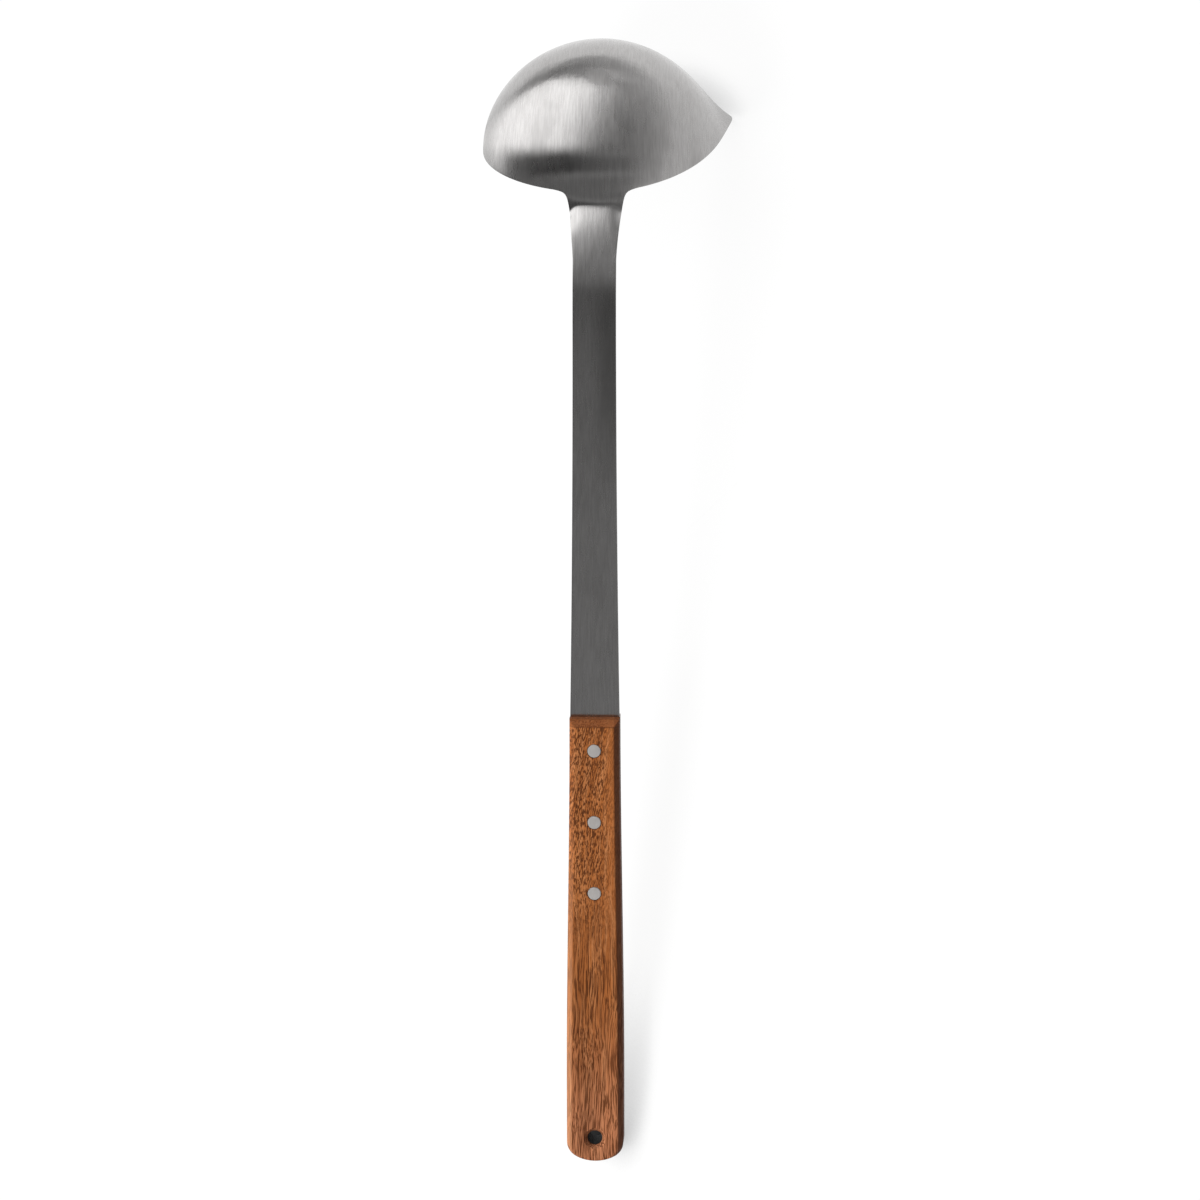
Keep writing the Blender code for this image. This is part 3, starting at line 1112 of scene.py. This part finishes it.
@dataclass
class Handle:
    """The wooden handle, with chamfers, a sawn slot, pin holes and a hanging hole."""

    length: float = 0.1633
    thickness: float = 0.0130
    top_width: float = 0.0176
    butt_width: float = 0.0203
    swell: float = 0.135
    side_chamfer: float = 0.0019
    end_chamfer: float = 0.0026
    butt_radius: float = 0.0150
    butt_corner: float = 0.0030
    butt_soft: float = 0.0005
    arris_soft: float = 0.0005
    hole_diameter: float = 0.0050
    hole_mouth: float = 0.0076
    hole_mouth_depth: float = 0.0018
    hole_soft: float = 0.0004
    hole_from_butt: float = 0.0088
    slot_gap: float = 0.00008
    sharp_angle: float = math.radians(32)
    side_points: int = 48
    butt_points: int = 24
    corner_points: int = 8
    soft_steps: int = 4
    round_sides: int = 72

    def half_width(self, y: float) -> float:
        """Half the handle's width at a place along it."""
        swell = ease(-y / self.swell)
        return (self.top_width + (self.butt_width - self.top_width) * swell) / 2

    def hole_place(self) -> Vector:
        """The middle of the hanging hole."""
        return Vector((0.0, -self.length + self.hole_from_butt, 0.0))

    def butt_side(self, half: float, inset: float, side: int) -> list[Vector]:
        """The outline from one side to the middle of the rounded butt.

        Args:
            half: Half the width there.
            inset: How far the butt's arc is drawn in.
            side: -1 for the left, 1 for the right.

        Returns:
            Points in the handle's plane.
        """
        radius = self.butt_radius - inset
        reach = math.asin(half / radius)
        centre = -self.length + self.butt_radius

        def on_arc(angle: float) -> Vector:
            """A point of the butt's arc."""
            return Vector((side * radius * math.sin(angle), centre - radius * math.cos(angle)))

        corner = on_arc(reach)
        above = corner + Vector((0.0, self.butt_corner))
        last = reach - self.butt_corner / radius
        beside = on_arc(last)
        outline = []
        for index in range(self.corner_points + 1):
            t = index / (self.corner_points + 1)
            outline.append((1 - t) ** 2 * above + 2 * t * (1 - t) * corner + t * t * beside)
        # The two sides stop half a step short of the middle
        half_points = self.butt_points // 2
        for index in range(half_points):
            outline.append(on_arc(last * (1 - index / (half_points - 0.5))))
        return outline

    def outline(self, inset: float) -> list[Vector]:
        """The handle's outline at one level.

        Args:
            inset: How far the sides are drawn in there; the ends follow in proportion.

        Returns:
            Points in the handle's plane.
        """
        end_inset = inset * self.end_chamfer / self.side_chamfer
        butt_inset = self.butt_soft * ease(inset / (self.side_chamfer + self.arris_soft))
        half = self.half_width(-self.length) - inset
        left = self.butt_side(half, butt_inset, -1)
        right = self.butt_side(half, butt_inset, 1)
        run = left[0].y + end_inset
        stations = [-end_inset + run * index / self.side_points for index in range(self.side_points)]
        halves = [(self.half_width(y) - inset, y) for y in stations]
        ring = [Vector((-half, y)) for half, y in halves]
        ring += left + right[::-1]
        ring += [Vector((half, y)) for half, y in halves[::-1]]
        return ring

    def section(self) -> list[Vector]:
        """The upper edge's section, with softened arrises.

        Returns:
            Pairs of inset and height, from the side to the back face.
        """
        half = self.thickness / 2
        start = Vector((0.0, 0.0))
        low = Vector((0.0, half - self.side_chamfer))
        high = Vector((self.side_chamfer, half))
        flat = Vector((self.side_chamfer + 3 * self.arris_soft, half))
        section = softened(start, low, high, self.arris_soft, self.soft_steps)
        section += softened(low, high, flat, self.arris_soft, self.soft_steps)
        section.append(Vector((section[-1].x + self.arris_soft, half)))
        return section

    def hole_cutter(self) -> bpy.types.Object:
        """What the hanging hole takes out: a bore with a soft-edged countersink at both faces.

        Returns:
            The cutter.
        """
        half = self.thickness / 2
        bore = self.hole_diameter / 2
        mouth = self.hole_mouth / 2
        inner = Vector((bore, half - self.hole_mouth_depth))
        lip = Vector((mouth, half))
        out = Vector((mouth + 2 * self.hole_soft, half + self.hole_soft / 4))
        edge = softened(Vector((bore, 0.0)), inner, lip, self.hole_soft, self.soft_steps)
        edge += softened(inner, lip, out, self.hole_soft, self.soft_steps)
        edge.append(out)
        return turned("hole_cutter", mirrored(edge), self.hole_place(), self.round_sides)

    def slot_cutter(self, pressing: Pressing) -> bpy.types.Object:
        """What the saw takes out for the tang.

        Args:
            pressing: The pressing whose tang the slot takes.

        Returns:
            The cutter.
        """
        half = pressing.sheet / 2 + self.slot_gap
        end = -pressing.tang_length - self.slot_gap
        wide = self.butt_width
        corners = ((-wide, end), (wide, end), (wide, wide), (-wide, wide))
        loops = [[Vector((x, y, z)) for x, y in corners] for z in (-half, half)]
        return Shape("slot_cutter").loft(loops).build()

    def build(self, pressing: Pressing, pin_cutters: Sequence[bpy.types.Object]) -> bpy.types.Object:
        """Builds the handle.

        Args:
            pressing: The pressing whose tang the slot takes.
            pin_cutters: What the pin holes take out.

        Returns:
            The piece.
        """
        loops = []
        for inset, z in mirrored(self.section()):
            loops.append([Vector((x, y, z)) for x, y in self.outline(inset)])
        item = Shape("handle_block").loft(loops).build()
        cut_out(item, [self.slot_cutter(pressing), *pin_cutters, self.hole_cutter()])
        smooth(item, self.sharp_angle)
        return item


@dataclass
class PinSet:
    """Three solid pins through handle and tang."""

    NODES = ("rivet_upper", "rivet_middle", "rivet_lower")

    diameter: float = 0.0047
    first: float = 0.0112
    pitch: float = 0.0260
    recess: float = 0.00004
    edge: float = 0.00022
    crown: float = 0.00003
    flat_share: float = 0.6
    middle_share: float = 0.3
    hole_gap: float = 0.00016
    sharp_angle: float = math.radians(40)
    soft_steps: int = 4
    round_sides: int = 72

    def places(self) -> list[Vector]:
        """The middles of the pins along the handle."""
        return [Vector((0.0, -self.first - self.pitch * index, 0.0)) for index in range(len(self.NODES))]

    def cutters(self, reach: float) -> list[bpy.types.Object]:
        """What the pin holes take out.

        Args:
            reach: How far each cutter runs to both sides.

        Returns:
            One cutter for each pin.
        """
        radius = self.diameter / 2 + self.hole_gap
        profile = ((radius, -reach), (radius, reach))
        return [turned("pin_cutter", profile, place, self.round_sides) for place in self.places()]

    def build(self, thickness: float) -> list[bpy.types.Object]:
        """Builds the pins, each with broken edges and a faint crown.

        Args:
            thickness: The handle's thickness.

        Returns:
            The pieces, in the order of the nodes.
        """
        end = thickness / 2 - self.recess
        radius = self.diameter / 2
        side = Vector((radius, 0.0))
        corner = Vector((radius, end - self.crown))
        face = Vector((radius * self.flat_share, end))
        upper = softened(side, corner, face, self.edge, self.soft_steps)
        upper += [face, Vector((radius * self.middle_share, end))]
        pins = []
        for node, place in zip(self.NODES, self.places()):
            pin = turned("pin_" + node.split("_")[1], mirrored(upper), place, self.round_sides)
            smooth(pin, self.sharp_angle)
            pins.append(pin)
        return pins


@dataclass
class PhotoView:
    """The camera, placed by the ladle's own frame as it lies."""

    lying: Matrix
    distance: float = 1.5
    pitch: float = math.radians(12.0)
    yaw: float = math.radians(3.0)
    roll: float = math.radians(-0.55)
    field: float = math.radians(16.503)
    target: tuple[float, float, float] = (-0.00074, 0.03168, -0.04794)

    def axes(self) -> tuple[Vector, Vector, Vector]:
        """The view's right, up and back directions on the floor.

        Returns:
            The three directions.
        """
        turn = self.lying.to_3x3() @ Matrix.Rotation(-self.pitch, 3, "X")
        turn = turn @ Matrix.Rotation(self.yaw, 3, "Y") @ Matrix.Rotation(-self.roll, 3, "Z")
        return turn.col[0].copy(), turn.col[1].copy(), turn.col[2].copy()

    def build(self) -> bpy.types.Object:
        """Makes the scene's camera.

        Returns:
            The camera.
        """
        right, up, back = self.axes()
        data = bpy.data.cameras.new("photo_view")
        data.sensor_fit = "HORIZONTAL"
        data.angle = self.field
        camera = linked("photo_view", data)
        place = self.lying @ Vector(self.target) + self.distance * back
        turn = Matrix((right, up, back)).transposed().to_4x4()
        camera.matrix_world = Matrix.Translation(place) @ turn
        bpy.context.scene.camera = camera
        return camera


@dataclass
class Studio:
    """A white floor, a large soft window on the left and darker walls elsewhere.

    It is arranged by the view's right, up and back directions and by the spot where the floor shows
    through the hanging hole. Lengths on the floor are in metres. Turns and heights in the surrounding
    are in degrees, except the far wall's and the horizon's heights, which are sines. Walls and the
    window are given by brightness.
    """

    axes: tuple[Vector, Vector, Vector]
    under_hole: Vector

    floor_size: float = 60.0
    floor_glow: float = 0.92
    floor_colour: float = 0.20
    shadow_reach: float = 0.014
    shadow_floor: float = 0.60
    shadow_soft: Span = (0.2, 0.85)
    shadow_samples: int = 4
    sweep_edge: float = 0.36
    sweep_soft: float = 0.025
    sweep_slant: float = 0.8
    sweep_corner: float = 0.055
    beyond: float = 0.42
    right_fall: float = 0.20
    right_fall_reach: Span = (0.0, 0.13)
    bore_shade: float = 0.97
    bore_shade_reach: Span = (0.0026, 0.0085)

    lower_left: float = 0.024
    lower_right: float = 0.176
    lower_turn: Span = (-40.0, 2.0)
    ramp_wall: float = 0.096
    ramp_height: Span = (-7.5, -3.5)
    ramp_turn: Span = (-30.0, -12.0)
    shank_wall: float = 0.30
    shank_height: Span = (-19.5, -24.0)
    neck_wall: float = 0.192
    neck_height: Span = (-24.5, -31.0)
    upper_wall: float = 0.16
    sill_height: Span = (-4.0, 10.0)
    sill_drop: float = 12.0
    sill_turn: Span = (-100.0, -124.0)
    window: float = 1.76
    window_slant: float = -0.42
    window_turn: Span = (0.0, -60.0)
    window_height: Span = (80.0, 64.0)
    glint: float = 0.48
    glint_slant: float = -0.115
    glint_drop: float = 2.9
    glint_width: Span = (1.6, 0.3)
    glint_turn: Span = (-36.0, -60.0)
    far_wall: float = 0.28
    far_height: float = 0.29
    far_fall: float = 0.0022
    far_soft: float = 0.06
    far_turn: Span = (80.0, 56.0)
    right_wall: float = 0.176
    right_turn: Span = (32.0, 62.0)
    horizon: float = 1.0
    horizon_height: float = 0.098
    horizon_soft: float = 0.025
    horizon_turn: Span = (14.0, 9.5)

    key_power: float = 12.5
    key_size: float = 0.55
    key_distance: float = 1.2
    key_direction: tuple[float, float, float] = (-0.70, -0.42, 0.58)

    def build(self) -> None:
        """Makes the floor, the world and the lamp."""
        self._floor()
        self._world()
        self._key()

    def _floor(self) -> None:
        """A pale floor that stays white, with the ladle's shadow and deep shade under the hanging hole."""
        half = self.floor_size / 2
        shape = Shape("studio_floor")
        corners = ((-half, -half), (half, -half), (half, half), (-half, half))
        shape.faces.append(shape.add_row([Vector((x, y, 0.0)) for x, y in corners]))
        floor = shape.build()
        material = bpy.data.materials.new("white_floor")
        material.use_nodes = True
        graph = Graph(material.node_tree)
        graph.tree.nodes.clear()
        path = graph.node("ShaderNodeLightPath").outputs
        seen = graph.math("MAXIMUM", path["Is Camera Ray"], path["Is Glossy Ray"])
        seen = graph.math("MAXIMUM", seen, path["Is Transmission Ray"])
        place = graph.node("ShaderNodeNewGeometry").outputs["Position"]

        close = graph.node("ShaderNodeAmbientOcclusion", samples=self.shadow_samples)
        close.inputs["Distance"].default_value = self.shadow_reach
        shadow = graph.step(close.outputs["AO"], *self.shadow_soft, self.shadow_floor, 1.0)
        from_hole = graph.vector("LENGTH", graph.vector("SUBTRACT", place, tuple(self.under_hole)))
        under = graph.step(from_hole, *self.bore_shade_reach, 1.0 - self.bore_shade, 1.0)
        mirrored_away = graph.math("MULTIPLY", self._sweep(graph, place), path["Is Glossy Ray"])
        light = graph.product(shadow, under, graph.math("SUBTRACT", 1.0, mirrored_away), self.floor_glow)

        plain = graph.node("ShaderNodeBsdfDiffuse")
        plain.inputs["Color"].default_value = grey(self.floor_colour)
        lit = graph.node("ShaderNodeBsdfDiffuse")
        graph.feed(lit.inputs["Color"], graph.math("MULTIPLY", under, 1.0 - self.floor_glow))
        glow = graph.node("ShaderNodeEmission")
        graph.feed(glow.inputs["Strength"], light)
        white = graph.node("ShaderNodeAddShader")
        graph.feed_all(white, (glow.outputs["Emission"], lit.outputs["BSDF"]))
        choose = graph.node("ShaderNodeMixShader")
        graph.feed_all(choose, (seen, plain.outputs["BSDF"], white.outputs["Shader"]))
        out = graph.node("ShaderNodeOutputMaterial")
        graph.feed(out.inputs["Surface"], choose.outputs["Shader"])
        floor.data.materials.append(material)

    def _sweep(self, graph: Graph, place: Socket) -> Socket:
        """How much of the floor's white steel doesn't mirror: none on the sweep, more beyond it and, as
        painted shade, to the right.

        Args:
            graph: The floor's graph.
            place: The place on the floor.

        Returns:
            The share that is left out.
        """
        across, along, _ = graph.split(place)
        near_side = graph.math("MINIMUM", across, self.sweep_corner)
        reach = graph.math("MULTIPLY_ADD", near_side, self.sweep_slant, along)
        near, far = self.sweep_edge - self.sweep_soft, self.sweep_edge + self.sweep_soft
        beyond = graph.step(reach, near, far, 0.0, 1.0 - self.beyond)
        # Painted shade: what steel mirrors of the floor darkens towards the right
        return graph.math("MAXIMUM", beyond, graph.step(across, *self.right_fall_reach, 0.0, self.right_fall))

    def _world(self) -> None:
        """The walls and the window, as one soft surrounding."""
        world = bpy.data.worlds.new("studio")
        bpy.context.scene.world = world
        world.use_nodes = True
        graph = Graph(world.node_tree)
        graph.tree.nodes.clear()
        towards = graph.node("ShaderNodeTexCoord").outputs["Generated"]
        right, up, back = (graph.vector("DOT_PRODUCT", towards, tuple(axis)) for axis in self.axes)
        side = graph.math("DEGREES", graph.math("ARCTAN2", right, back))
        height = graph.math("DEGREES", graph.math("ARCSINE", up))
        level = self._by_view(graph, side, height)
        level = self._far_side(graph, towards, side, level)
        background = graph.node("ShaderNodeBackground")
        background.inputs["Color"].default_value = grey(1.0)
        graph.feed(background.inputs["Strength"], level)
        out = graph.node("ShaderNodeOutputWorld")
        graph.feed(out.inputs["Surface"], background.outputs["Background"])

    def _by_view(self, graph: Graph, side: Socket, height: Socket) -> Socket:
        """The lower and upper walls, the window and a glint under it, as the view sees them.

        Args:
            graph: The world's graph.
            side: The turn to the view's right.
            height: The angle above the view's level.

        Returns:
            The brightness.
        """
        lower = graph.step(side, *self.lower_turn, self.lower_left, self.lower_right)
        ramp = graph.step(side, *self.ramp_turn, 0.0, self.ramp_wall)
        lower = graph.math("ADD", lower, graph.math("MULTIPLY", graph.step(height, *self.ramp_height), ramp))
        lower = graph.towards(graph.step(height, *self.shank_height), lower, self.shank_wall)
        neck = graph.step(height, *self.neck_height, 0.0, self.neck_wall - self.shank_wall)
        lower = graph.math("ADD", lower, neck)

        sill = graph.math("ADD", height, graph.step(side, *self.sill_turn, 0.0, self.sill_drop))
        is_upper = graph.step(sill, *self.sill_height)
        level = graph.towards(is_upper, lower, self.upper_wall)
        slanted = graph.math("MULTIPLY_ADD", height, self.window_slant, side)
        window = graph.product(
            graph.step(slanted, *self.window_turn), graph.step(height, *self.window_height), is_upper
        )
        level = graph.math("MULTIPLY_ADD", window, self.window, level)
        ridge = graph.math("MULTIPLY_ADD", side, self.glint_slant, graph.math("ADD", height, self.glint_drop))
        glint = graph.step(graph.math("ABSOLUTE", ridge), *self.glint_width)
        glint = graph.math("MULTIPLY", glint, graph.step(side, *self.glint_turn))
        return graph.math("MULTIPLY_ADD", glint, self.glint, level)

    def _far_side(self, graph: Graph, towards: Socket, side: Socket, level: Socket) -> Socket:
        """Adds the far wall, the right wall and the white horizon behind the bowl.

        Args:
            graph: The world's graph.
            towards: The direction in the room.
            side: The turn to the view's right.
            level: The brightness without them.

        Returns:
            The brightness with them.
        """
        east, north, over_floor = graph.split(towards)
        bearing = graph.math("DEGREES", graph.math("ARCTAN2", graph.math("MULTIPLY", east, -1.0), north))
        to_left = graph.math("MAXIMUM", bearing, 0.0)
        top = graph.math("MULTIPLY_ADD", to_left, -self.far_fall, self.far_height)
        far = graph.step(graph.math("SUBTRACT", over_floor, top), self.far_soft, 0.0)
        far = graph.math("MULTIPLY", far, graph.step(bearing, *self.far_turn))
        level = graph.towards(far, level, self.far_wall)
        level = graph.math("MULTIPLY_ADD", graph.step(side, *self.right_turn), self.right_wall, level)

        outer, inner = self.horizon_turn
        low = graph.product(
            graph.step(over_floor, self.horizon_height + self.horizon_soft, self.horizon_height),
            graph.step(bearing, -outer, -inner),
            graph.step(bearing, outer, inner),
        )
        return graph.towards(low, level, self.horizon)

    def _key(self) -> None:
        """A soft key light from the window's side, which polished steel doesn't mirror."""
        right, up, back = self.axes
        x, y, z = self.key_direction
        towards = (x * right + y * up + z * back).normalized()
        data = bpy.data.lights.new("key_light", "AREA")
        data.shape = "SQUARE"
        data.size = self.key_size
        data.energy = self.key_power
        lamp = linked("key_light", data)
        facing = towards.to_track_quat("Z", "Y").to_matrix().to_4x4()
        lamp.matrix_world = Matrix.Translation(towards * self.key_distance) @ facing
        lamp.visible_camera = False
        lamp.visible_glossy = False


def lying_frame(record: dict, grip: Vector, shank: Vector) -> Matrix:
    """How the ladle's own frame lies on the floor.

    Args:
        record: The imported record.
        grip: The mount on the handle's back, in the ladle's frame.
        shank: The mount on the shank's back, in the ladle's frame.

    Returns:
        The frame's matrix.
    """
    mounts = {mount["name"]: mount for mount in record["mounts"]}
    handle_mount = mounts["handle_back_face"]
    back = Vector(handle_mount["axis"]).normalized()
    there = Vector(handle_mount["pos_m"])
    run = Vector(mounts["shank_back_face"]["pos_m"]) - there
    along = (run - run.dot(back) * back).normalized()
    right = along.cross(back)
    turn = Matrix((right, along, back)).transposed()
    origin = there - turn @ grip
    LOG.info("shank mount is off by %.6f m", (origin + turn @ shank - there - run).length)
    return Matrix.Translation(origin) @ turn.to_4x4()


def show(piece: bpy.types.Object, node: str, finish: bpy.types.Material, lying: Matrix) -> None:
    """Lays a piece down, dresses it and puts it in its node's place.

    Args:
        piece: The finished mesh, in the ladle's frame.
        node: The node that it stands for.
        finish: Its material.
        lying: How the ladle's frame lies.
    """
    mesh = piece.data
    mesh.materials.clear()
    mesh.materials.append(finish)
    places = mesh.attributes.new(PLACE, "FLOAT_VECTOR", "POINT")
    places.data.foreach_set("vector", [number for vertex in mesh.vertices for number in vertex.co])
    mesh.transform(lying)
    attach(piece, "root")
    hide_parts(node)
    LOG.info("%s stands for %s, %d faces", piece.name, node, len(piece.data.polygons))


def main() -> None:
    """Loads the frame, builds the ladle and sets the scene."""
    logging.basicConfig(level=logging.INFO, format="%(name)s: %(message)s")
    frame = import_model()

    handle, pins = Handle(), PinSet()
    pressing = Pressing(handle.half_width)
    grip = Vector((0.0, GRIP_MOUNT_AT, handle.thickness / 2))
    shank = Vector((0.0, SHANK_MOUNT_AT, pressing.sheet / 2))
    lying = lying_frame(frame["record"], grip, shank)
    view = PhotoView(lying)
    camera = view.build()
    hole = lying @ handle.hole_place()
    sight = camera.matrix_world.translation - hole
    Studio(view.axes(), hole - sight * (hole.z / sight.z)).build()

    effects = Effects()
    steel = SatinSteel().material(effects)
    wood = OiledWood().material(effects, handle)
    pin_steel = PinSteel().material(effects)

    steel_piece = pressing.build(pins.cutters(handle.thickness))
    show(steel_piece, "bowl_and_shank", steel, lying)
    wood_piece = handle.build(pressing, pins.cutters(handle.thickness))
    show(wood_piece, "wooden_handle", wood, lying)
    for pin, node in zip(pins.build(handle.thickness), pins.NODES):
        show(pin, node, pin_steel, lying)

    bpy.context.scene.view_settings.view_transform = "Standard"


if __name__ == "__main__":
    main()
